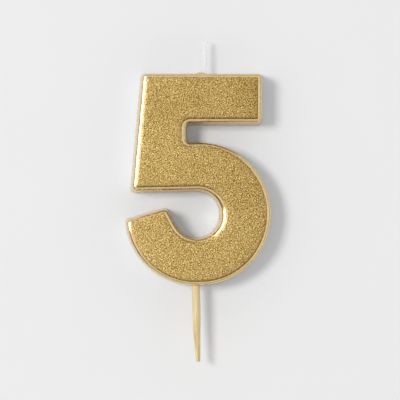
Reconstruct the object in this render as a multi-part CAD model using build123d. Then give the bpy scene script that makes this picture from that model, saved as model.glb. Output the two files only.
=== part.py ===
from build123d import *
import math
import os

# A numeral candle lying on its flat back: +Z out of its face, +Y towards the wick. Millimetres.

# Outline of the numeral at its back, with (0, 0) at the centre of the bowl
top_y = 50.1
flag_right_x = 22.5
flag_bottom_y = 31.6
stem_top_left_x = -20.8
stem_bottom_left_x = -24.7
stem_right_x = -4.4
stem_bottom_y = 7.9
stem_foot_y = 7.45
bowl_radius = 25.7
tail_radius = 26.8
counter_center = (-0.9, -0.2)
counter_radius = stem_bottom_y - counter_center[1]
tail_inner = (-11.6, 2.4)
tail_top_slope = 15.8

# Section through a stroke: walls lean in by the draft angle, then turn onto the face by the edge radius
thickness = 12.0
draft = 3.8
edge_radius = 2.0
notch_radius = 1.1
coat_depth = 0.3
glitter_depth = 0.2
glitter_margin = 2.25

# Wick: braided cotton in a coat of wax, with a gold collar that sits a little to one side of it
wick_x = 1.7
wick_z = 5.4
wick_radius = 1.3
wick_tip_y = 61.6
wick_buried = 14.0
wick_tip_chamfer = 0.3
cotton_radius = 0.55
collar_radius = 2.2
collar_top_radius = 1.5
collar_rise = 0.6
collar_shift = -0.8

# Pick: a stick pointed at both ends. Distances along it are counted from its root, at the wall.
pick_root = Vector(-1.4, -25.4, 7.8)
pick_tip = Vector(-0.7, -52.2, 8.3)
pick_radius = 1.5
pick_buried = 13.0
pick_buried_radius = 0.9
pick_round_end = 10.5
pick_tip_radius = 0.7
pick_tip_chamfer = 0.4
seal_radius = 2.4
seal_top_radius = 1.9
seal_rise = 0.6


def circle_point(center, radius, degrees):
    angle = math.radians(degrees)
    return (center[0] + radius * math.cos(angle), center[1] + radius * math.sin(angle))


def angle_about(center, point):
    return math.degrees(math.atan2(point[1] - center[1], point[0] - center[0])) % 360


def tail_outer(tail_center):
    """Where the tail's sloping top edge meets the tail's outer arc."""
    slope = math.radians(tail_top_slope)
    dx = tail_inner[0] - tail_center[0]
    dy = tail_inner[1] - tail_center[1]
    along = dx * math.cos(slope) + dy * math.sin(slope)
    reach = along + math.sqrt(along**2 - dx**2 - dy**2 + tail_radius**2)
    return (tail_inner[0] - reach * math.cos(slope), tail_inner[1] - reach * math.sin(slope))


def corner_points():
    """The outline's outward corners, anticlockwise from the top right."""
    tail_center = (0, tail_radius - bowl_radius)
    return [
        (flag_right_x, top_y),
        (stem_top_left_x, top_y),
        (stem_bottom_left_x, stem_foot_y),
        tail_inner,
        tail_outer(tail_center),
        (flag_right_x, flag_bottom_y),
    ]


def tangent_angle(point, side):
    """The angle on the counter's circle where a line from a point touches it, on one of its two sides."""
    half = math.degrees(math.acos(counter_radius / math.dist(counter_center, point)))
    return angle_about(counter_center, point) + side * half


def near(vertex, point):
    return math.hypot(vertex.X - point[0], vertex.Y - point[1]) < 0.02


def outline():
    """The back of the numeral: outward corners sharp, the two inward corners of the notch rounded."""
    flag_top, stem_top, stem_foot, tail_in, tail_out, flag_foot = corner_points()
    tail_center = (0, tail_radius - bowl_radius)
    bowl_start = math.degrees(math.acos(stem_right_x / bowl_radius))
    tail_end = angle_about(tail_center, tail_out)
    top_angle = tangent_angle(stem_foot, -1)
    foot_angle = tangent_angle(tail_in, 1)
    counter_top = circle_point(counter_center, counter_radius, top_angle)
    counter_foot = circle_point(counter_center, counter_radius, foot_angle)
    notch_corner = (stem_right_x, flag_bottom_y)
    notch_foot = circle_point((0, 0), bowl_radius, bowl_start)
    face = make_face(
        [
            Line(flag_top, stem_top),
            Line(stem_top, stem_foot),
            Line(stem_foot, counter_top),
            CenterArc(counter_center, counter_radius, top_angle, foot_angle - 360 - top_angle),
            Line(counter_foot, tail_in),
            Line(tail_in, tail_out),
            CenterArc(tail_center, tail_radius, tail_end, 270 - tail_end),
            CenterArc((0, 0), bowl_radius, -90, bowl_start + 90),
            Line(notch_foot, notch_corner),
            Line(notch_corner, flag_foot),
            Line(flag_foot, flag_top),
        ]
    )
    inward = [v for v in face.vertices() if near(v, notch_corner) or near(v, notch_foot)]
    return fillet(inward, notch_radius)


def inset_outline(inset, height):
    """The outline moved inwards by a distance, and up to a height."""
    face = outline()
    if inset > 0:
        face = offset(face, -inset, kind=Kind.INTERSECTION)
    return face.faces()[0].moved(Location((0, 0, height)))


def nearest_vertex(face, point):
    return min(face.vertices(), key=lambda v: math.hypot(v.X - point[0], v.Y - point[1]))


def rising_edge(block, vertex):
    """The edge that rises from a vertex of the block's back."""
    start = vertex.center()
    touching = [e for e in block.edges() if min((e @ 0 - start).length, (e @ 1 - start).length) < 0.001]
    return max(touching, key=lambda e: abs((e @ 1).Z - (e @ 0).Z))


def numeral(inset, height):
    """The numeral as a drafted block, with one radius on its outward corners and front edge."""
    lean = height * math.tan(math.radians(draft))
    block = loft([inset_outline(inset, 0), inset_outline(inset + lean, height)], ruled=True)
    back = block.faces().sort_by(Axis.Z)[0]
    front = block.faces().sort_by(Axis.Z)[-1]
    corners = [rising_edge(block, nearest_vertex(back, point)) for point in corner_points()]
    return fillet(corners + list(front.edges()), edge_radius - inset)


def turned(stations, origin, direction):
    """A turned solid through (distance along, radius) stations."""
    first = stations[0][0]
    last = stations[-1][0]
    profile = [(0, 0, first)] + [(radius, 0, along) for along, radius in stations] + [(0, 0, last)]
    face = make_face(Polyline(*profile, close=True))
    return Plane(origin=origin, z_dir=direction).location * revolve(face, Axis.Z)


def collar_cone(top_radius, base_radius, rise, origin, direction):
    """A low cone that starts under the wall, so that the wall can be cut from it."""
    under = 0.5
    slope = (base_radius - top_radius) / rise
    return turned([(-under, base_radius + under * slope), (rise, top_radius)], origin, direction)


def build_pick():
    direction = (pick_tip - pick_root).normalized()
    tip_length = (pick_tip - pick_root).length
    stations = [
        (-pick_buried, pick_buried_radius),
        (seal_rise, pick_radius),
        (pick_round_end, pick_radius),
        (tip_length - pick_tip_chamfer, pick_tip_radius),
        (tip_length, pick_tip_radius - pick_tip_chamfer),
    ]
    return turned(stations, pick_root, direction)


def build_wick():
    """The wick's cotton and its wax coat, and the space that they fill together."""
    bottom_y = top_y - wick_buried
    length = wick_tip_y - bottom_y
    origin = (wick_x, bottom_y, wick_z)
    stations = [
        (0, wick_radius),
        (length - wick_tip_chamfer, wick_radius),
        (length, wick_radius - wick_tip_chamfer),
    ]
    whole = turned(stations, origin, (0, 1, 0))
    cotton = turned([(0, cotton_radius), (length, cotton_radius)], origin, (0, 1, 0))
    return cotton, whole - cotton, whole


def build_parts():
    body = numeral(coat_depth, thickness - glitter_depth - coat_depth)
    skin = numeral(0, thickness - glitter_depth)
    cap = numeral(0, thickness)
    pick = build_pick()
    cotton, coat, wick = build_wick()
    face_block = extrude(inset_outline(glitter_margin, 0), thickness + 1)
    glitter = (cap & face_block) - skin
    wall_y = top_y - wick_z * math.tan(math.radians(draft))
    collar_origin = (wick_x + collar_shift, wall_y, wick_z)
    collar = collar_cone(collar_top_radius, collar_radius, collar_rise, collar_origin, (0, 1, 0))
    seal = collar_cone(seal_top_radius, seal_radius, seal_rise, pick_root, pick_tip - pick_root)
    return {
        "wax_core": body - pick - wick,
        "gold_coat": skin - body - pick - wick,
        "glitter_face": glitter,
        "wick_cotton": cotton,
        "wick_wax": coat,
        "wick_collar": collar - skin - wick,
        "pick": pick,
        "pick_seal": seal - skin - pick,
    }


def center_shift(parts):
    """Moves the origin to the middle of the underside of the whole candle's box."""
    box = Compound(children=[part.solids()[0] for part in parts.values()]).bounding_box()
    return Vector(-box.center().X, -box.center().Y, -box.min.Z)


if __name__ == "__main__":
    os.makedirs("parts", exist_ok=True)
    parts = build_parts()
    shift = center_shift(parts)
    print("origin shift", shift)
    for name, part in parts.items():
        export_step(part.moved(Location(shift)), f"parts/{name}.step")
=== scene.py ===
import math

import bmesh
import bpy
import numpy as np
from mathutils import Matrix, Vector, noise
from mathutils.geometry import delaunay_2d_cdt
from mathutils.kdtree import KDTree


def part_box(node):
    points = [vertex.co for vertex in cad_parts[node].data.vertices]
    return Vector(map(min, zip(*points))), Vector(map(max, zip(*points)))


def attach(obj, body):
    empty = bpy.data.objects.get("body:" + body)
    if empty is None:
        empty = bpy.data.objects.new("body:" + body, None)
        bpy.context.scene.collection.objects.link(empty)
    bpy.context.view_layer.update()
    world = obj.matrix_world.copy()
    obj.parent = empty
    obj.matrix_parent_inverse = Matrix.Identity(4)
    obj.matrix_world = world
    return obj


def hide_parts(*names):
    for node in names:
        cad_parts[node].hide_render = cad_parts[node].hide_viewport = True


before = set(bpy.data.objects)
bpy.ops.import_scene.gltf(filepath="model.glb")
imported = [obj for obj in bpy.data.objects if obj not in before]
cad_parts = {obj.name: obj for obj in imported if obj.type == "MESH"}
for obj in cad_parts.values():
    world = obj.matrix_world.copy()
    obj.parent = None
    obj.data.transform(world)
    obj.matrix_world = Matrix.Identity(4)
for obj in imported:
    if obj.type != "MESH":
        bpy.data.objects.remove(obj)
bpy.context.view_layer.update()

# A gold glitter numeral candle that lies on its back on a pale floor, seen from above.
# Shapes are worked out in millimetres from the bowl's centre, and placed in the CAD frame by its boxes.

MM = 0.001
SHAPE_SEED = 6
FLAKE_SEED = 5
skin_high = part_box("gold_coat")[1]
glitter_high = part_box("glitter_face")[1]

# How finely the outline is sampled, how many steps a sharp corner turns in, and what counts as no corner
# and as no distance
SAMPLE_SPACING = 0.45
NOTCH_SPACING = 0.15
CORNER_FAN = 9
NEARLY_PARALLEL = 0.99
TOUCHING = 0.01
WELD = 0.001

# Outline of the numeral's back
TOP_Y = 50.1
FLAG_RIGHT = 22.5
FLAG_BOTTOM = 31.6
STEM_TOP_LEFT = -20.8
STEM_FOOT_LEFT = -24.7
STEM_RIGHT = -4.4
STEM_BOTTOM = 7.9
STEM_FOOT = 7.45
BOWL_RADIUS = 25.7
TAIL_RADIUS = 26.8
COUNTER = (-0.9, -0.2)
COUNTER_RADIUS = STEM_BOTTOM - COUNTER[1]
TAIL_INNER = (-11.6, 2.4)
TAIL_SLOPE = math.radians(15.8)
NOTCH_RADIUS = 1.1

# Section through a stroke: a drafted wall, a rounded front edge and a face with a slight crown. The spine is
# the rim of the face.
DRAFT = math.tan(math.radians(3.8))
GLITTER_CROWN = 0.06
CROWN_WIDTH = 0.7
HEIGHT = glitter_high.z / MM - GLITTER_CROWN
EDGE_REACH = 1.85
EDGE_DROP = 1.4
EDGE_POWER = 1.5
CORNER_RADIUS = 1.6
BACK_ROUND = 0.3
FACE_LEAN = HEIGHT * DRAFT
SPINE_INSET = FACE_LEAN + EDGE_REACH
QUARTER_TURN = math.pi / 2

# Gold skin, and how uneven cast and dipped surfaces are
SKIN_DEPTH = 0.3
SKIN_END = math.radians(86)
SKIN_INNER_STEP = 3
CAST_WAVE = 0.05
CAST_WAVE_SIZE = 5.0
DIPPED_WAVE_SIZE = 1.4

# Glitter layer: where it starts inside the outline, on each kind of edge, and how ragged that line is
GLITTER_DEPTH = 0.12
GLITTER_LIFT = 0.06
GLITTER_INSET_SIDES = 2.10
GLITTER_INSET_TOP = 1.80
GLITTER_INSET_FOOT = 1.76
GLITTER_INSET_BOWL = 1.50
TOP_BAND = 4.0
RAG = 0.06
RAG_SIZE = 0.9
START_SUNK = 0.03
RIM_STEPS = 8

# Flakes
FLAKE_SPACING = 0.36
FLAKE_ROW = 0.87 * FLAKE_SPACING
FLAKE_SCATTER = 0.3
FLAKE_ROUGH = 0.018
FLAKE_LOWEST = -0.06
FLAKE_HIGHEST = 0.08
EDGE_FLAKE_LOWEST = -0.02
EDGE_FLAKE_HIGHEST = 0.03
FLAKE_UNLIKE = 0.6
TONE_LIFT = 0.02
# Painted shade across the face: the flakes' tone falls towards the right and the top
PAINTED_SHADE_RIGHT = 0.05
PAINTED_SHADE_TOP = 0.03
PATCH_TONE = 0.06
PATCH_SIZE = 14

# Painted shade along the rim where the glitter starts, on edges that face right and darkest at the foot of a
# stroke; and clear lacquer pooled at the rim, most where it faces the lights on the left
RIM_SHADE = 0.06
RIM_SHADE_RIGHT = 0.08
RIM_SHADE_FOOT = 0.55
RIM_SHADE_OFFSET = 0.12
RIM_SHADE_WIDTH = 0.34
RIM_SHADE_WIDER_AT_FOOT = 0.25
SHINE = 0.6
SHINE_REACH = 1.2
SHINE_EVEN = 0.4
SHINE_LEFT = 0.6
EDGE_LIMIT = 0.9

# Wick: a cotton braid in clear wax
WICK_X = 1.7
WICK_Z = 5.4
WICK_TIP_Y = 61.6
WICK_RADIUS = 1.25
WICK_BURIED = 14.0
WICK_BEND = 0.08
WICK_DOME = 1.4
WICK_UNEVEN = 0.07
BRAID_X = WICK_X + 0.4
BRAID_Z = WICK_Z - 0.4
BRAID_PITCH = 2.6
BRAID_STEP = 0.16
BRAID_SWING = 0.18
BRAID_WEAVE = 0.10
BRAID_SHORT = 0.15
STRAND_RADIUS = 0.15
STRAND_RIDGE = 0.06
FRAY_LENGTH = 1.2
FRAY_OPEN = 0.4
FRAY_SPREAD = 0.25
FRAY_THIN = 0.25

# Pick: its centreline, and how its left and right sides narrow to the tip
PICK_ROOT = Vector((-1.4, -25.4, 7.8))
PICK_TIP = Vector((-0.7, -52.2, 8.3))
PICK_RADIUS = 1.45
PICK_TIP_RADIUS = 0.7
PICK_BURIED = 12.5
PICK_BURIED_THIN = 0.55
PICK_END_ROUND = 0.25
PICK_END_SHRINK = 0.28
PICK_FIBRE = 0.035
PICK_GRAIN = 0.03
WHITTLE_START = 0.45
WHITTLE_DEPTH = 1.15
WHITTLE_POWER = 1.6
TAPER_START = 0.25
TAPER_DEPTH = 0.85
TAPER_POWER = 1.3

# Gold wax drawn up round the wick and the pick: how far it reaches to the left, to the right and
# along the thickness, and how high it rises on the left and on the right
COLLAR_STEM = (WICK_X - 0.3, WICK_Z)
COLLAR_STEM_RADIUS = 0.9
COLLAR_REACH = (2.6, 1.1, 1.8)
COLLAR_RISE = (0.68, 0.06)
COLLAR_SWELL = 0.5
SEAL_STEM = (PICK_ROOT.x, PICK_ROOT.z)
SEAL_STEM_RADIUS = 1.35
SEAL_REACH = (3.2, 3.2, 2.1)
SEAL_RISE = (0.45, 0.45)
SEAL_SWELL = 2.0

CENTER = Vector((skin_high.x - BOWL_RADIUS * MM, skin_high.y - TOP_Y * MM, 0.0))

# Fixed seeds make the same candle each time
rng = np.random.default_rng(FLAKE_SEED)
noise.seed_set(SHAPE_SEED)


# ---------------------------------------------------------------- outline

def unit(angle):
    """A unit vector at an angle."""
    return np.array((math.cos(angle), math.sin(angle)))


def line_samples(start, end):
    """Points on a line, both ends included, with their outward normal (the numeral is on the left)."""
    start = np.array(start, float)
    end = np.array(end, float)
    along = end - start
    length = np.hypot(*along)
    normal = np.array((along[1], -along[0])) / length
    count = max(2, round(length / SAMPLE_SPACING) + 1)
    return [(start + along * t, normal) for t in np.linspace(0, 1, count)]


def arc_samples(center, radius, start, end, spacing=SAMPLE_SPACING):
    """Points on an arc. Anticlockwise arcs face outwards, clockwise arcs face their centre."""
    count = max(6, round(abs(end - start) * radius / spacing) + 1)
    side = 1 if end > start else -1
    return [(np.array(center) + radius * unit(a), side * unit(a)) for a in np.linspace(start, end, count)]


def tail_outer(tail_center):
    """The tail's outer corner, where its sloped end meets the outer arc."""
    slope = unit(TAIL_SLOPE)
    gap = np.array(TAIL_INNER) - tail_center
    along = gap @ slope
    reach = along + math.sqrt(along**2 - gap @ gap + TAIL_RADIUS**2)
    return np.array(TAIL_INNER) - reach * slope


def tangent_angle(point, side):
    """The angle on the counter's circle where a line from a point touches it, on one of its two sides."""
    gap = np.array(point) - COUNTER
    return math.atan2(gap[1], gap[0]) % math.tau + side * math.acos(COUNTER_RADIUS / np.hypot(*gap))


def outline_runs():
    """The outline as runs of samples, anticlockwise. A sharp outward corner lies between two runs that
    don't share a normal."""
    tail_center = np.array((0, TAIL_RADIUS - BOWL_RADIUS))
    tail_out = tail_outer(tail_center)
    tail_end = math.atan2(*(tail_out - tail_center)[::-1]) % math.tau
    counter_start = tangent_angle((STEM_FOOT_LEFT, STEM_FOOT), -1)
    counter_end = tangent_angle(TAIL_INNER, 1) - math.tau
    counter_top = np.array(COUNTER) + COUNTER_RADIUS * unit(counter_start)
    counter_foot = np.array(COUNTER) + COUNTER_RADIUS * unit(counter_end)
    foot_x = STEM_RIGHT + NOTCH_RADIUS
    foot_y = math.sqrt((BOWL_RADIUS + NOTCH_RADIUS) ** 2 - foot_x**2)
    bowl_end = math.atan2(foot_y, foot_x)
    notch_y = FLAG_BOTTOM - NOTCH_RADIUS
    return [
        line_samples((FLAG_RIGHT, TOP_Y), (STEM_TOP_LEFT, TOP_Y)),
        line_samples((STEM_TOP_LEFT, TOP_Y), (STEM_FOOT_LEFT, STEM_FOOT)),
        line_samples((STEM_FOOT_LEFT, STEM_FOOT), counter_top),
        arc_samples(COUNTER, COUNTER_RADIUS, counter_start, counter_end),
        line_samples(counter_foot, TAIL_INNER),
        line_samples(TAIL_INNER, tail_out),
        arc_samples(tail_center, TAIL_RADIUS, tail_end, 3 * QUARTER_TURN),
        arc_samples((0, 0), BOWL_RADIUS, -QUARTER_TURN, bowl_end),
        arc_samples((foot_x, foot_y), NOTCH_RADIUS, bowl_end + math.pi, math.pi, NOTCH_SPACING),
        line_samples((STEM_RIGHT, foot_y), (STEM_RIGHT, notch_y)),
        arc_samples((foot_x, notch_y), NOTCH_RADIUS, math.pi, QUARTER_TURN, NOTCH_SPACING),
        line_samples((foot_x, FLAG_BOTTOM), (FLAG_RIGHT, FLAG_BOTTOM)),
        line_samples((FLAG_RIGHT, FLAG_BOTTOM), (FLAG_RIGHT, TOP_Y)),
    ]


def sampled_outline():
    """Arrays of points, mitre vectors and normals. Moving a point back along its mitre vector by a distance
    insets the outline by that distance and keeps its outward corners sharp; each sharp corner is a fan of
    samples at one point, whose normals turn."""
    runs = outline_runs()
    mitres = []
    for run, following in zip(runs, runs[1:] + runs[:1]):
        leaving = run[-1][1]
        entering = following[0][1]
        mitres.append((leaving + entering) / (1 + leaving @ entering))
    points, slides, normals = [], [], []
    for i, run in enumerate(runs):
        first = mitres[i - 1] - run[0][1]
        last = mitres[i] - run[-1][1]
        smooth_end = np.allclose(last, 0, atol=1e-3)
        for k, (point, normal) in enumerate(run[:-1] if smooth_end else run):
            t = k / (len(run) - 1)
            points.append(point)
            slides.append(normal + first * (1 - t) + last * t)
            normals.append(normal)
        leaving = run[-1][1]
        entering = runs[(i + 1) % len(runs)][0][1]
        if leaving @ entering < NEARLY_PARALLEL:
            turn = math.atan2(leaving[0] * entering[1] - leaving[1] * entering[0], leaving @ entering)
            start = math.atan2(leaving[1], leaving[0])
            for k in range(1, CORNER_FAN):
                points.append(run[-1][0])
                slides.append(mitres[i])
                normals.append(unit(start + turn * k / CORNER_FAN))
    return np.array(points), np.array(slides), np.array(normals)


POINTS, SLIDES, NORMALS = sampled_outline()


def ring(sharp, rounded, height):
    """The outline inset to the spine, then let out again by a sharp and a rounded distance, at a height. Each
    is a number or has a value for every point."""
    count = len(POINTS)
    inset = np.broadcast_to(SPINE_INSET - sharp, count)
    out = np.broadcast_to(rounded, count)
    flat = POINTS - SLIDES * inset[:, None] + NORMALS * out[:, None]
    return np.column_stack((flat, np.broadcast_to(height, count)))


def wall_ring(height):
    """A ring on the drafted wall."""
    return ring((HEIGHT - height) * DRAFT + EDGE_REACH - CORNER_RADIUS, CORNER_RADIUS, height)


def edge_ring(turn, lift=0.0):
    """A ring on the front edge, from turn 0 at the wall to a quarter turn at the face. The section is a
    superellipse a little flatter than an ellipse."""
    out = np.cos(turn) ** (2 / EDGE_POWER)
    up = np.sin(turn) ** (2 / EDGE_POWER)
    level = HEIGHT - EDGE_DROP * (1 - up)
    lean = (HEIGHT - level) * DRAFT * out
    points = ring(lean + (EDGE_REACH - CORNER_RADIUS) * out, CORNER_RADIUS * out + lift * out, level)
    points[:, 2] += lift * up
    return points


def edge_turn(inset):
    """The turn at which the front edge has come this far inside the outline of the back."""
    return np.arccos(np.clip((SPINE_INSET - inset) / EDGE_REACH, 0, 1) ** (EDGE_POWER / 2))


# ---------------------------------------------------------------- mesh helpers

def place(points):
    """Millimetres about the bowl's centre to metres in the CAD frame."""
    return np.asarray(points, float) * MM + np.array(CENTER)


def make_piece(name, verts, faces, material, smooth=True):
    """A piece of the object from its points and faces, which rides on the one body."""
    mesh = bpy.data.meshes.new(name)
    mesh.from_pydata([tuple(v) for v in verts], [], faces)
    work = bmesh.new()
    work.from_mesh(mesh)
    bmesh.ops.remove_doubles(work, verts=work.verts, dist=WELD * MM)
    bmesh.ops.recalc_face_normals(work, faces=work.faces)
    work.to_mesh(mesh)
    work.free()
    mesh.polygons.foreach_set("use_smooth", [smooth] * len(mesh.polygons))
    piece = bpy.data.objects.new(name, mesh)
    bpy.context.scene.collection.objects.link(piece)
    mesh.materials.append(material)
    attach(piece, "root")
    return piece


def bridge(count, rings, closed=False, start=0):
    """Quads between successive rings of count points each. Closed joins the last ring to the first."""
    faces = []
    for r in range(rings if closed else rings - 1):
        a = start + r * count
        b = start + ((r + 1) % rings) * count
        for i in range(count):
            j = (i + 1) % count
            faces.append((a + i, a + j, b + j, b + i))
    return faces


def ripple(points, amount, size):
    """Moves points by smooth noise, as a cast or dipped surface is never dead true."""
    out = np.array(points, float)
    for p in out:
        p += amount * np.array(noise.noise_vector(Vector(p / size)))
    return out


def round_section(x, y, z, radius, turns):
    """A ring round a stem that runs along Y. The radius has a value for every turn."""
    return np.column_stack((x + radius * np.cos(turns), np.full_like(radius, y), z + radius * np.sin(turns)))


def loft(name, sections, material):
    """A closed piece through rings with the same number of points, capped at both ends."""
    count = len(sections[0])
    faces = bridge(count, len(sections))
    faces.append(tuple(reversed(range(count))))
    faces.append(tuple((len(sections) - 1) * count + i for i in range(count)))
    return make_piece(name, place(np.vstack(sections)), faces, material)


# ---------------------------------------------------------------- material helpers

def new_material(name):
    """A material with its nodes, its links and its shader."""
    material = bpy.data.materials.new(name)
    material.use_nodes = True
    nodes = material.node_tree.nodes
    return material, nodes, material.node_tree.links, nodes["Principled BSDF"]


def add(nodes, kind, **settings):
    """A node with its properties and socket values set."""
    node = nodes.new(kind)
    for key, value in settings.items():
        if key in node.inputs:
            node.inputs[key].default_value = value
        else:
            setattr(node, key, value)
    return node


def mapped(nodes, links, scale):
    """Object coordinates in metres, times a scale for each axis."""
    where = nodes.new("ShaderNodeTexCoord")
    mapping = nodes.new("ShaderNodeMapping")
    mapping.inputs["Scale"].default_value = scale
    links.new(where.outputs["Object"], mapping.inputs["Vector"])
    return mapping.outputs["Vector"]


def ramp(nodes, links, value, stops):
    """A value turned into a colour, through stops that each have a position and a colour."""
    node = nodes.new("ShaderNodeValToRGB")
    elements = node.color_ramp.elements
    while len(elements) < len(stops):
        elements.new(0.5)
    for element, (position, color) in zip(elements, stops):
        element.position = position
        element.color = (*color, 1)
    links.new(value, node.inputs["Fac"])
    return node.outputs["Color"]


def mix(nodes, links, factor, first, second):
    """One colour or the other, by a factor. Each is a socket or a fixed colour."""
    node = add(nodes, "ShaderNodeMix", data_type="RGBA")
    links.new(factor, node.inputs["Factor"])
    for key, color in (("A", first), ("B", second)):
        socket = next(s for s in node.inputs if s.name == key and s.type == "RGBA")
        if isinstance(color, tuple):
            socket.default_value = color
        else:
            links.new(color, socket)
    return next(s for s in node.outputs if s.type == "RGBA")


def noise_at(nodes, links, vector, scale, detail=3.0, roughness=0.5):
    node = add(nodes, "ShaderNodeTexNoise", Scale=scale, Detail=detail, Roughness=roughness)
    links.new(vector, node.inputs["Vector"])
    return node.outputs["Fac"]


def bump(nodes, links, height, distance, after=None):
    node = add(nodes, "ShaderNodeBump", Distance=distance, Strength=1.0)
    links.new(height, node.inputs["Height"])
    if after is not None:
        links.new(after, node.inputs["Normal"])
    return node.outputs["Normal"]


# ---------------------------------------------------------------- materials

GOLD_TONES = [(0.3, (0.76, 0.56, 0.27)), (0.7, (0.86, 0.68, 0.38))]
GOLD_CAST = (0.77, 0.775, 0.79, 1)
GOLD_TINT = (0.92, 0.80, 0.60, 1)
GLITTER_TONES = [(0.0, (0.14, 0.065, 0.008)), (0.5, (0.51, 0.335, 0.092)), (1.0, (0.90, 0.71, 0.33))]
FLAKES_PER_METRE = 3500.0
FLAKE_TILT = 0.16
WAX_TONES = [(0.3, (0.66, 0.50, 0.28)), (0.7, (0.78, 0.63, 0.39))]
COTTON_TONES = [(0.3, (0.95, 0.95, 0.945)), (0.7, (0.99, 0.99, 0.985))]
CLEAR_WAX_TONES = [(0.3, (0.90, 0.90, 0.90)), (0.7, (0.95, 0.95, 0.95))]
BAMBOO_TONES = [(0.34, (0.54, 0.38, 0.20)), (0.43, (0.76, 0.57, 0.33)), (0.5, (0.68, 0.53, 0.21)),
                (0.56, (0.86, 0.72, 0.50)), (0.66, (0.72, 0.56, 0.27))]
FLOOR_TONES = [(0.3, (0.838, 0.838, 0.838)), (0.7, (0.842, 0.842, 0.842))]


def gold_lacquer():
    """Gold lacquer. The light that it throws on the floor is nearly neutral."""
    material, nodes, links, shader = new_material("gold_lacquer")
    here = mapped(nodes, links, (1, 1, 1))
    tone = noise_at(nodes, links, here, scale=900.0, detail=4.0)
    color = ramp(nodes, links, tone, GOLD_TONES)
    ray = nodes.new("ShaderNodeLightPath")
    seen = mix(nodes, links, ray.outputs["Is Diffuse Ray"], color, GOLD_CAST)
    links.new(seen, shader.inputs["Base Color"])
    shader.inputs["Specular Tint"].default_value = GOLD_TINT
    shader.inputs["Metallic"].default_value = 1.0
    rough = add(nodes, "ShaderNodeMapRange", **{"To Min": 0.10, "To Max": 0.16})
    links.new(noise_at(nodes, links, here, scale=1500.0), rough.inputs["Value"])
    links.new(rough.outputs["Result"], shader.inputs["Roughness"])
    waves = noise_at(nodes, links, here, scale=260.0, detail=2.0)
    wavy = bump(nodes, links, waves, distance=0.00012)
    grain = noise_at(nodes, links, here, scale=2600.0)
    fine = bump(nodes, links, grain, distance=0.00001, after=wavy)
    links.new(fine, shader.inputs["Normal"])
    shader.inputs["Coat Weight"].default_value = 0.15
    shader.inputs["Coat Roughness"].default_value = 0.10
    return material


def glitter_lacquer():
    """Gold flakes in lacquer. The mesh holds a tone for each flake, with painted shade in it, and a fine
    pattern tilts it a little.
    """
    material, nodes, links, shader = new_material("gold_glitter")
    here = mapped(nodes, links, (1, 1, 1))
    # The flakes' tone carries painted shade: darker towards the right and the top, and a dark line at the rim
    flake_tone = add(nodes, "ShaderNodeAttribute", attribute_name="tone")
    color = ramp(nodes, links, flake_tone.outputs["Fac"], GLITTER_TONES)
    links.new(color, shader.inputs["Base Color"])
    cells = add(nodes, "ShaderNodeTexVoronoi", Scale=FLAKES_PER_METRE)
    links.new(here, cells.inputs["Vector"])
    centered = add(nodes, "ShaderNodeVectorMath", operation="SUBTRACT")
    links.new(cells.outputs["Color"], centered.inputs[0])
    centered.inputs[1].default_value = (0.5, 0.5, 0.5)
    scaled = add(nodes, "ShaderNodeVectorMath", operation="SCALE", Scale=FLAKE_TILT)
    links.new(centered.outputs["Vector"], scaled.inputs[0])
    geometry = nodes.new("ShaderNodeNewGeometry")
    total = add(nodes, "ShaderNodeVectorMath", operation="ADD")
    links.new(geometry.outputs["Normal"], total.inputs[0])
    links.new(scaled.outputs["Vector"], total.inputs[1])
    normal = add(nodes, "ShaderNodeVectorMath", operation="NORMALIZE")
    links.new(total.outputs["Vector"], normal.inputs[0])
    links.new(normal.outputs["Vector"], shader.inputs["Normal"])
    shader.inputs["Metallic"].default_value = 1.0
    shader.inputs["Roughness"].default_value = 0.58
    shine = add(nodes, "ShaderNodeAttribute", attribute_name="shine")
    links.new(shine.outputs["Fac"], shader.inputs["Coat Weight"])
    over = add(nodes, "ShaderNodeAttribute", attribute_name="lacquer")
    links.new(over.outputs["Vector"], shader.inputs["Coat Normal"])
    shader.inputs["Coat Roughness"].default_value = 0.22
    return material


def wax():
    """Wax with a warm tint, under the lacquer."""
    material, nodes, links, shader = new_material("tinted_wax")
    here = mapped(nodes, links, (1, 1, 1))
    tone = noise_at(nodes, links, here, scale=220.0, detail=5.0)
    color = ramp(nodes, links, tone, WAX_TONES)
    links.new(color, shader.inputs["Base Color"])
    shader.inputs["Roughness"].default_value = 0.45
    shader.inputs["Subsurface Weight"].default_value = 0.3
    shader.inputs["Subsurface Radius"].default_value = (0.002, 0.0015, 0.001)
    shader.inputs["Subsurface Scale"].default_value = 1.0
    links.new(bump(nodes, links, tone, distance=0.0001), shader.inputs["Normal"])
    return material


def waxed_cotton():
    """White cotton, with fibres that run along the wick."""
    material, nodes, links, shader = new_material("waxed_cotton")
    here = mapped(nodes, links, (1, 0.35, 1))
    tone = noise_at(nodes, links, here, scale=2500.0, detail=4.0)
    color = ramp(nodes, links, tone, COTTON_TONES)
    links.new(color, shader.inputs["Base Color"])
    shader.inputs["Roughness"].default_value = 0.35
    shader.inputs["Subsurface Weight"].default_value = 0.4
    shader.inputs["Subsurface Radius"].default_value = (0.0003, 0.0003, 0.0003)
    shader.inputs["Subsurface Scale"].default_value = 1.0
    links.new(bump(nodes, links, tone, distance=0.00003), shader.inputs["Normal"])
    return material


def clear_wax():
    """A thin, nearly clear dip of wax."""
    material, nodes, links, shader = new_material("clear_wax")
    here = mapped(nodes, links, (1, 0.4, 1))
    tone = noise_at(nodes, links, here, scale=700.0)
    color = ramp(nodes, links, tone, CLEAR_WAX_TONES)
    links.new(color, shader.inputs["Base Color"])
    shader.inputs["Roughness"].default_value = 0.3
    shader.inputs["Alpha"].default_value = 0.09
    links.new(bump(nodes, links, tone, distance=0.00008), shader.inputs["Normal"])
    return material


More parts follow.
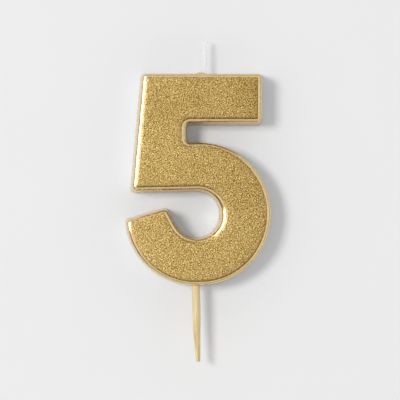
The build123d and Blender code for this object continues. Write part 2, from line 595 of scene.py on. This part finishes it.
def bamboo():
    """Split bamboo: pale, golden and pinkish streaks that run along the fibres."""
    material, nodes, links, shader = new_material("bamboo")
    here = mapped(nodes, links, (1, 0.03, 1))
    streaks = noise_at(nodes, links, here, scale=1500.0, roughness=0.6)
    color = ramp(nodes, links, streaks, BAMBOO_TONES)
    links.new(color, shader.inputs["Base Color"])
    shader.inputs["Roughness"].default_value = 0.5
    shader.inputs["Specular IOR Level"].default_value = 0.25
    fibres = noise_at(nodes, links, here, scale=4000.0)
    links.new(bump(nodes, links, fibres, distance=0.00006), shader.inputs["Normal"])
    return material


def pale_floor():
    material, nodes, links, shader = new_material("pale_floor")
    here = mapped(nodes, links, (1, 1, 1))
    tone = noise_at(nodes, links, here, scale=40.0, detail=2.0)
    color = ramp(nodes, links, tone, FLOOR_TONES)
    links.new(color, shader.inputs["Base Color"])
    shader.inputs["Roughness"].default_value = 0.9
    shader.inputs["Specular IOR Level"].default_value = 0.0
    return material


GOLD = gold_lacquer()
GLITTER = glitter_lacquer()
WAX = wax()
COTTON = waxed_cotton()
BAMBOO = bamboo()
CLEAR_WAX = clear_wax()


# ---------------------------------------------------------------- numeral

def gold_skin():
    """The lacquered skin: wall and front edge outside, and its inner face, as one closed loop of rings."""
    edge_start = HEIGHT - EDGE_DROP
    wall_levels = np.linspace(BACK_ROUND, edge_start, 9)[1:-1]
    edge_turns = np.linspace(0, SKIN_END, 17)
    rings = []
    for turn in np.linspace(0, QUARTER_TURN, 4):
        base = wall_ring(BACK_ROUND * (1 - math.cos(turn)))
        base[:, :2] -= NORMALS * BACK_ROUND * (1 - math.sin(turn))
        rings.append(base)
    rings += [ripple(wall_ring(level), CAST_WAVE, CAST_WAVE_SIZE) for level in wall_levels]
    rings += [ripple(edge_ring(turn), CAST_WAVE, CAST_WAVE_SIZE) for turn in edge_turns]
    inner = [r.copy() for r in rings[::-SKIN_INNER_STEP]]
    for r in inner:
        r[:, :2] -= NORMALS * SKIN_DEPTH
        r[:, 2] -= SKIN_DEPTH * (r[0, 2] > edge_start)
    foot = rings[0].copy()
    foot[:, :2] -= NORMALS * SKIN_DEPTH
    rings += inner + [foot]
    faces = bridge(len(POINTS), len(rings), closed=True)
    piece = make_piece("gold_skin", place(np.vstack(rings)), faces, GOLD)
    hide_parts("gold_coat")


def distinct(points):
    """A closed loop of points without the ones that coincide."""
    step = np.hypot(*(points - np.roll(points, 1, axis=0))[:, :2].T)
    return points[step > TOUCHING]


def inside(points, loop):
    """Which points lie inside a loop, by counting crossings."""
    within = np.zeros(len(points), bool)
    for (x1, y1), (x2, y2) in zip(loop[:, :2], np.roll(loop, -1, axis=0)[:, :2]):
        if y1 != y2:
            crossed = (y1 > points[:, 1]) != (y2 > points[:, 1])
            within ^= crossed & (points[:, 0] < x1 + (points[:, 1] - y1) * (x2 - x1) / (y2 - y1))
    return within


def across_rim(loop, points):
    """For each point, the way out across the rim of the face and how far inside the rim it is."""
    sides = np.roll(loop, -1, axis=0) - loop
    rim = np.vstack([loop + sides * t for t in np.linspace(0, 1, RIM_STEPS, endpoint=False)])
    tree = KDTree(len(rim))
    for i, p in enumerate(rim):
        tree.insert((p[0], p[1], 0), i)
    tree.balance()
    gap = np.array([tree.find((p[0], p[1], 0))[0][:2] for p in points]) - points[:, :2]
    away = np.where(inside(points, loop), 1, -1) * np.hypot(*gap.T).clip(WELD)
    return gap / away[:, None], away


def glitter_start(points, outward):
    """How far inside the outline the glitter starts, on an edge that faces a given way."""
    tops = np.where(points[:, 1] > TOP_Y - TOP_BAND, GLITTER_INSET_TOP, GLITTER_INSET_BOWL)
    ends = np.where(outward[:, 1] > 0, tops, GLITTER_INSET_FOOT)
    return GLITTER_INSET_SIDES + (ends - GLITTER_INSET_SIDES) * outward[:, 1] ** 2


def scattered_flakes(rim):
    """Points of the face's relief, where flakes meet: a loose triangular grid with uneven heights, on a face
    that rolls down a little towards its rim."""
    rows = np.arange(-TAIL_RADIUS, TOP_Y, FLAKE_ROW)
    columns = np.arange(-TAIL_RADIUS, TAIL_RADIUS, FLAKE_SPACING)
    x, y = np.meshgrid(columns, rows)
    x[::2] += FLAKE_SPACING / 2
    flat = np.column_stack((x.ravel(), y.ravel()))
    flat += rng.uniform(-FLAKE_SCATTER, FLAKE_SCATTER, flat.shape) * FLAKE_SPACING
    flat = flat[inside(flat, ring(-FLAKE_SPACING / 2, 0, HEIGHT))]
    away = across_rim(rim, flat)[1]
    heights = HEIGHT + GLITTER_LIFT + GLITTER_CROWN * (1 - np.exp(-away.clip(0) / CROWN_WIDTH))
    heights += rng.normal(0, FLAKE_ROUGH, len(flat)).clip(FLAKE_LOWEST, FLAKE_HIGHEST)
    return np.column_stack((flat, heights))


def flake_tones_and_shade(mesh, rim):
    """A tone for each flake, unlike its neighbours' tones, with painted shade in it. The flakes are darker
    towards the right and the top, a painted gradient of light across the face, and a painted dark line runs
    where the glitter starts, on edges that face right and most of all at the foot of a stroke."""
    count = len(mesh.polygons)
    middles = np.zeros(count * 3)
    mesh.polygons.foreach_get("center", middles)
    middles = (middles.reshape(-1, 3) - np.array(CENTER)) / MM
    tones = rng.uniform(0, 1, count)
    owner = np.repeat(np.arange(count), [p.loop_total for p in mesh.polygons])
    corner = np.zeros(len(mesh.loops), int)
    mesh.loops.foreach_get("vertex_index", corner)
    around = np.bincount(corner, tones[owner]) / np.bincount(corner)
    nearby = np.bincount(owner, around[corner]) / np.bincount(owner)
    tones -= (nearby - 0.5) * FLAKE_UNLIKE
    patchy = np.array([noise.noise(Vector(p / PATCH_SIZE + (0, 0, 4))) for p in middles])
    right, top = middles[:, :2].T / BOWL_RADIUS
    # Painted shade across the face: lighter at the left and the bottom, darker towards the right and the top
    tones += TONE_LIFT - PAINTED_SHADE_RIGHT * right - PAINTED_SHADE_TOP * top + PATCH_TONE * patchy
    outward, away = across_rim(rim, middles)
    # Painted shade: a dark line where the glitter starts, on edges that face right and most of all on edges
    # that face down
    inside_start = SPINE_INSET + away - glitter_start(middles, outward) - RIM_SHADE_OFFSET
    rim_shade = (RIM_SHADE + RIM_SHADE_RIGHT * outward[:, 0] - RIM_SHADE_FOOT * outward[:, 1]).clip(0, 1)
    width = RIM_SHADE_WIDTH * (1 - RIM_SHADE_WIDER_AT_FOOT * outward[:, 1])
    return tones.clip(0, 1) * (1 - rim_shade * np.exp(-(inside_start / width) ** 2))


def lay_lacquer(mesh, rim):
    """Clear lacquer that has pooled over the flakes at the rim: its smooth normal, and how much there is.
    Most of it is on rims that face left, towards the lights there, so that it gives a highlight; rims that
    face right get none.
    """
    points = np.zeros(len(mesh.vertices) * 3)
    mesh.vertices.foreach_get("co", points)
    points = (points.reshape(-1, 3) - np.array(CENTER)) / MM
    outward, away = across_rim(rim, points)
    over = (-away / EDGE_REACH).clip(0, EDGE_LIMIT)
    steep = over / (1 - over**EDGE_POWER) ** (1 / EDGE_POWER)
    edge_slope = steep ** (EDGE_POWER - 1) * EDGE_DROP / EDGE_REACH
    face_slope = GLITTER_CROWN / CROWN_WIDTH * np.exp(-away.clip(0) / CROWN_WIDTH)
    slope = np.where(away > 0, face_slope, edge_slope)
    normals = np.column_stack((outward * slope[:, None], np.ones(len(points))))
    normals /= np.linalg.norm(normals, axis=1)[:, None]
    lacquer = mesh.attributes.new("lacquer", "FLOAT_VECTOR", "POINT")
    lacquer.data.foreach_set("vector", normals.ravel())
    shine = mesh.attributes.new("shine", "FLOAT", "POINT")
    pooled = np.exp(-(away.clip(0) / SHINE_REACH) ** 2)
    # Lacquer mostly on rims that face the lights on the left, for a highlight there; none on rims that face
    # right
    leftward = (SHINE_EVEN - SHINE_LEFT * outward[:, 0]).clip(0, 1)
    shine.data.foreach_set("value", pooled * leftward * SHINE)


def glitter_sheet():
    """The glitter layer: it starts in a ragged line on the front edge, and its face is a relief of flakes."""
    count = len(POINTS)
    rag = np.array([noise.noise(Vector((p[0] / RAG_SIZE, p[1] / RAG_SIZE, 3.0))) for p in POINTS])
    inset = glitter_start(POINTS, NORMALS) + rag * RAG
    start = edge_turn(inset)
    rings = [edge_ring(start, -START_SUNK)]
    for t in np.linspace(0.06, 1, 6):
        rough = rng.uniform(EDGE_FLAKE_LOWEST, EDGE_FLAKE_HIGHEST, count)
        rings.append(edge_ring(start + (QUARTER_TURN - start) * t, GLITTER_LIFT + rough * (t < 1)))
    rim = distinct(rings[-1])
    flakes = scattered_flakes(rim)
    flat = [Vector(p[:2]) for p in np.vstack((rim, flakes))]
    border = [(i, (i + 1) % len(rim)) for i in range(len(rim))]
    found, _, triangles, source, _, _ = delaunay_2d_cdt(flat, border, [], 1, 1e-6)
    levels = np.concatenate((rim[:, 2], flakes[:, 2]))
    relief = [(v.x, v.y, levels[s[0]]) for v, s in zip(found, source)]
    under = [rings[0].copy(), rings[3].copy(), rings[-1].copy()]
    for r in under:
        r[:, 2] -= GLITTER_DEPTH
    loops = list(reversed(rings)) + under
    base = len(relief)
    faces = [tuple(t) for t in triangles] + bridge(count, len(loops), start=base)
    last = base + (len(loops) - 1) * count
    steps = under[-1] - np.roll(under[-1], 1, axis=0)
    bottom = [i for i in range(count) if np.hypot(*steps[i][:2]) > TOUCHING]
    faces.append(tuple(last + i for i in bottom))
    points = place(np.vstack([relief] + loops))
    piece = make_piece("glitter_sheet", points, faces, GLITTER, smooth=False)
    # The flakes' tones, with painted shade in them
    tones = piece.data.attributes.new("tone", "FLOAT", "FACE")
    tones.data.foreach_set("value", flake_tones_and_shade(piece.data, rim))
    lay_lacquer(piece.data, rim)
    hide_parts("glitter_face")


# ---------------------------------------------------------------- wick, pick and the wax round them

def meniscus(name, wall, stem, stem_radius, reach, rise, swell):
    """Wax drawn up round a stem where it leaves the numeral. Wall gives the numeral's surface and the side
    that faces out. Reach is how far the wax spreads to the left, to the right and along the thickness, rise
    is its height on the left and on the right, and swell is the power by which it climbs."""
    turns = np.linspace(0, math.tau, 56, endpoint=False)
    rightward = np.cos(turns)
    upward = np.sin(turns)
    spread = np.where(rightward < 0, reach[0], reach[1]) * rightward**2 + reach[2] * upward**2
    height = np.where(rightward < 0, rise[0], rise[1]) * rightward**2 + (rise[0] + rise[1]) / 2 * upward**2
    # For each ring, how far it lies towards the stem and how deep it is sunk in the wall
    rooted = [(0, 0.5), (0, 0.06)]
    flank = [(t, 0) for t in np.linspace(0.12, 1, 9)]
    bore = [(1.03, 0.9)]
    sections = []
    for t, sunk in rooted + flank + bore:
        across = spread + (stem_radius - spread) * t
        x = stem[0] + across * rightward
        z = stem[1] + across * upward
        surface, out = wall(x, z)
        lifted = height * min(t, 1) ** swell * (1 if sunk == 0 else 0) - sunk
        sections.append(np.column_stack((x, surface + out * lifted, z)))
    sections = [ripple(r, CAST_WAVE, DIPPED_WAVE_SIZE) for r in sections]
    faces = bridge(len(turns), len(sections), closed=True)
    return make_piece(name, place(np.vstack(sections)), faces, GOLD)


def top_wall(x, z):
    """The numeral's top wall at points across it, and the side that faces out."""
    return np.full_like(x, TOP_Y) - z * DRAFT, 1


def bowl_wall(x, z):
    """The foot of the bowl's wall at points across it, and the side that faces out."""
    return -np.sqrt((BOWL_RADIUS - z * DRAFT) ** 2 - x**2), -1


def wick_braid():
    """Three cotton strands plaited along the wick, frayed a little at the tip."""
    start = TOP_Y - WICK_BURIED
    end = WICK_TIP_Y - BRAID_SHORT
    turns = np.linspace(0, math.tau, 12, endpoint=False)
    for strand in range(3):
        sections = []
        for y in np.arange(start, end, BRAID_STEP):
            phase = math.tau * (y / BRAID_PITCH + strand / 3)
            fray = max(0, 1 - (end - y) / FRAY_LENGTH) ** 2
            x = BRAID_X + BRAID_SWING * math.cos(phase) * (1 + FRAY_OPEN * fray)
            z = BRAID_Z + BRAID_WEAVE * math.sin(2 * phase) + FRAY_SPREAD * fray * math.sin(2.1 * strand)
            ridges = 1 + STRAND_RIDGE * np.cos(5 * turns + 3 * y)
            radius = STRAND_RADIUS * (1 - FRAY_THIN * fray) * ridges
            sections.append(round_section(x, y, z, radius, turns))
        loft("wick_strand_%d" % (strand + 1), sections, COTTON)
    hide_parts("wick_cotton")


def wick_coat():
    """Clear wax over the wick: an uneven dipped surface that closes in a dome at the tip."""
    turns = np.linspace(0, math.tau, 28, endpoint=False)
    start = TOP_Y - WICK_BURIED
    sections = []
    for y in np.linspace(start, WICK_TIP_Y, 70):
        to_tip = (WICK_TIP_Y - y) / WICK_RADIUS
        dome = math.sqrt(max(0.02, 1 - max(0, 1 - to_tip * WICK_DOME) ** 2))
        lumps = np.array([noise.noise(Vector((math.cos(a), y * 0.45, math.sin(a)))) for a in turns])
        radius = WICK_RADIUS * dome * (1 + WICK_UNEVEN * lumps)
        x = WICK_X + WICK_BEND * math.sin(y * 0.5)
        sections.append(round_section(x, y, WICK_Z, radius, turns))
    piece = loft("wick_coat", sections, CLEAR_WAX)
    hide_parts("wick_wax")


def bamboo_pick():
    """The pick: a split bamboo round that is whittled on its left side to a blunt end."""
    axis = PICK_TIP - PICK_ROOT
    turns = np.linspace(0, math.tau, 32, endpoint=False)
    rightward = np.cos(turns)
    upward = np.sin(turns)
    fibres = np.array([noise.noise(Vector((7 * a, 9 * b, 1.0))) for a, b in zip(rightward, upward)])
    narrowing = PICK_RADIUS - PICK_TIP_RADIUS
    sections = []
    buried = np.linspace(-PICK_BURIED, 0, 12)
    shaft = np.linspace(0.5, axis.length - PICK_END_ROUND, 60)
    blunt = axis.length - np.array([0.16, 0.08, 0.02])
    lengths = np.concatenate((buried, shaft, blunt))
    for length in lengths:
        t = max(0, length / axis.length)
        middle = PICK_ROOT + axis.normalized() * length
        whittled = max(0, (t - WHITTLE_START) / (1 - WHITTLE_START)) ** WHITTLE_POWER
        tapered = max(0, (t - TAPER_START) / (1 - TAPER_START)) ** TAPER_POWER
        left = PICK_RADIUS - narrowing * WHITTLE_DEPTH * whittled
        right = PICK_RADIUS - narrowing * TAPER_DEPTH * tapered
        depth = (left + right) / 2
        if length < 0:
            left = right = depth = PICK_RADIUS - PICK_BURIED_THIN * (length / PICK_BURIED) ** 2
        end = max(0, 1 - (axis.length - length) / PICK_END_ROUND)
        shrink = 1 - PICK_END_SHRINK * end**2
        places = [Vector((5 * a, length * 0.12, 5 * b)) for a, b in zip(rightward, upward)]
        grain = np.array([noise.noise(p) for p in places])
        radius = np.where(rightward < 0, left, right) * rightward**2 + depth * upward**2
        radius = radius * shrink * (1 + PICK_FIBRE * fibres + PICK_GRAIN * grain)
        sections.append(round_section(middle.x, middle.y, middle.z, radius, turns))
    piece = loft("bamboo_pick", sections, BAMBOO)
    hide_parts("pick")


def wick_collar():
    """Gold wax round the foot of the wick, higher on its left."""
    collar = meniscus("wick_collar_wax", top_wall, COLLAR_STEM, COLLAR_STEM_RADIUS, COLLAR_REACH, COLLAR_RISE,
                      COLLAR_SWELL)
    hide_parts("wick_collar")


def pick_seal():
    """Gold wax round the pick where it leaves the bowl."""
    seal = meniscus("pick_seal_wax", bowl_wall, SEAL_STEM, SEAL_STEM_RADIUS, SEAL_REACH, SEAL_RISE,
                    SEAL_SWELL)
    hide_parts("pick_seal")


def wax_core():
    """The wax body inside the skin, whose own shape is kept."""
    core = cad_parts["wax_core"].data
    core.materials.clear()
    core.materials.append(WAX)


# ---------------------------------------------------------------- floor, light and camera

FLOOR_HALF = 3.0
KEY_TURN = math.radians(166)
KEY_RISE = math.radians(58.3)
KEY_FAR = 4.0
KEY_SIDE = 1.05
KEY_RADIANCE = 21.0
OVERHEAD_FAR = 1.2
OVERHEAD_SIDE = 1.6
OVERHEAD_RADIANCE = 0.13
PANEL_TURN = math.radians(161)
PANEL_RISE = math.radians(24)
PANEL_FAR = 1.5
PANEL_WIDTH = 1.7
PANEL_HEIGHT = 0.66
PANEL_RADIANCE = 3.4

# How bright the studio is, by the sine of the angle above the floor
SKY = [(0.0, 0.50), (0.18, 0.55), (0.27, 0.88), (0.64, 0.88), (0.76, 0.22),
       (0.91, 0.25), (0.97, 0.60), (1.0, 0.65)]
LEFT_SKY = [(0.0, 0.0), (0.17, 0.0), (0.26, 0.88)] + SKY[3:]
LEFT_FROM = -0.50
LEFT_FULL = -0.80
FRONT_FROM = -0.45
FRONT_FULL = -0.85
FRONT_DARKER = 0.12
BACKGROUND = (0.80, 0.80, 0.80, 1)
BLACK = (0.0, 0.0, 0.0, 1)

CAMERA_FOOT = (-23.669, -2.178)
CAMERA_HEIGHT = 812.0
CAMERA_LENS = 204.75
AIM = (0.3, 5.0)


def build_floor():
    """A pale floor that reaches far past the object."""
    mesh = bpy.data.meshes.new("floor")
    far = FLOOR_HALF
    mesh.from_pydata([(-far, -far, 0), (far, -far, 0), (far, far, 0), (-far, far, 0)], [], [(0, 1, 2, 3)])
    mesh.materials.append(pale_floor())
    floor = bpy.data.objects.new("floor", mesh)
    bpy.context.scene.collection.objects.link(floor)


def look_along(direction, up):
    """A rotation whose -Z looks along a direction and whose +Y leans towards up."""
    back = -Vector(direction).normalized()
    side = Vector(up).cross(back).normalized()
    return Matrix((side, back.cross(side), back)).transposed().to_4x4()


def toward(turn, rise):
    """A unit vector at a turn about the vertical and a rise above the floor."""
    flat = math.cos(rise)
    return Vector((flat * math.cos(turn), flat * math.sin(turn), math.sin(rise)))


def soft_box(name, place_at, width, height, radiance, reflected=True, lighting=True):
    """A rectangular light that faces the object. One that isn't lighting only shows in gloss."""
    lamp = bpy.data.lights.new(name, "AREA")
    lamp.shape = "RECTANGLE"
    lamp.size = width
    lamp.size_y = height
    lamp.energy = radiance * math.pi * width * height
    box = bpy.data.objects.new(name, lamp)
    straight_above = place_at.normalized().z > 0.99
    box.matrix_world = look_along(-place_at, (0, 1, 0) if straight_above else (0, 0, 1))
    box.location = place_at
    box.visible_glossy = reflected
    box.visible_diffuse = lighting
    if not lighting:
        lamp.cycles.max_bounces = 0
    box.visible_camera = False
    bpy.context.scene.collection.objects.link(box)


def sky_tones(nodes, links, up, sky):
    """Greys of the studio by height."""
    return ramp(nodes, links, up, [(height, (level, level, level)) for height, level in sky])


def build_lamps():
    """A key light high on the left, a little light from above, and a panel on the left that only shows in
    gloss."""
    key = toward(KEY_TURN, KEY_RISE) * KEY_FAR
    soft_box("key", key, KEY_SIDE, KEY_SIDE, KEY_RADIANCE)
    overhead = Vector((0, 0, OVERHEAD_FAR))
    soft_box("overhead", overhead, OVERHEAD_SIDE, OVERHEAD_SIDE, OVERHEAD_RADIANCE, reflected=False)
    panel = toward(PANEL_TURN, PANEL_RISE) * PANEL_FAR
    soft_box("left_panel", panel, PANEL_WIDTH, PANEL_HEIGHT, PANEL_RADIANCE, lighting=False)


def build_studio():
    """The pale room round the object. It is dark low on the left, and gloss sees it a little darker in
    front."""
    world = bpy.data.worlds.new("studio")
    bpy.context.scene.world = world
    world.use_nodes = True
    nodes = world.node_tree.nodes
    links = world.node_tree.links
    where = nodes.new("ShaderNodeTexCoord")
    split = nodes.new("ShaderNodeSeparateXYZ")
    links.new(where.outputs["Generated"], split.inputs["Vector"])
    leftward = add(nodes, "ShaderNodeMapRange", **{"From Min": LEFT_FROM, "From Max": LEFT_FULL})
    links.new(split.outputs["X"], leftward.inputs["Value"])
    sky = sky_tones(nodes, links, split.outputs["Z"], SKY)
    left_sky = sky_tones(nodes, links, split.outputs["Z"], LEFT_SKY)
    tone = mix(nodes, links, leftward.outputs["Result"], sky, left_sky)
    ray = nodes.new("ShaderNodeLightPath")
    front = {"From Min": FRONT_FROM, "From Max": FRONT_FULL, "To Max": FRONT_DARKER}
    frontward = add(nodes, "ShaderNodeMapRange", **front)
    links.new(split.outputs["Y"], frontward.inputs["Value"])
    in_gloss = add(nodes, "ShaderNodeMath", operation="MULTIPLY")
    links.new(frontward.outputs["Result"], in_gloss.inputs[0])
    links.new(ray.outputs["Is Glossy Ray"], in_gloss.inputs[1])
    tone = mix(nodes, links, in_gloss.outputs["Value"], tone, BLACK)
    shown = mix(nodes, links, ray.outputs["Is Camera Ray"], tone, BACKGROUND)
    links.new(shown, nodes["Background"].inputs["Color"])


def build_camera():
    """A long lens almost straight above the object, a little to its left."""
    data = bpy.data.cameras.new("camera")
    data.lens = CAMERA_LENS
    data.sensor_width = 36.0
    data.clip_start = 0.05
    camera = bpy.data.objects.new("camera", data)
    eye = CENTER + Vector((*CAMERA_FOOT, CAMERA_HEIGHT)) * MM
    aim = CENTER + Vector((*AIM, 0)) * MM
    camera.matrix_world = look_along(aim - eye, (0, 1, 0))
    camera.location = eye
    bpy.context.scene.collection.objects.link(camera)
    bpy.context.scene.camera = camera


# ---------------------------------------------------------------- the candle and its scene

gold_skin()
glitter_sheet()
wick_braid()
wick_coat()
bamboo_pick()
wick_collar()
pick_seal()
wax_core()
build_floor()
build_lamps()
build_studio()
build_camera()
bpy.context.scene.view_settings.view_transform = "Standard"
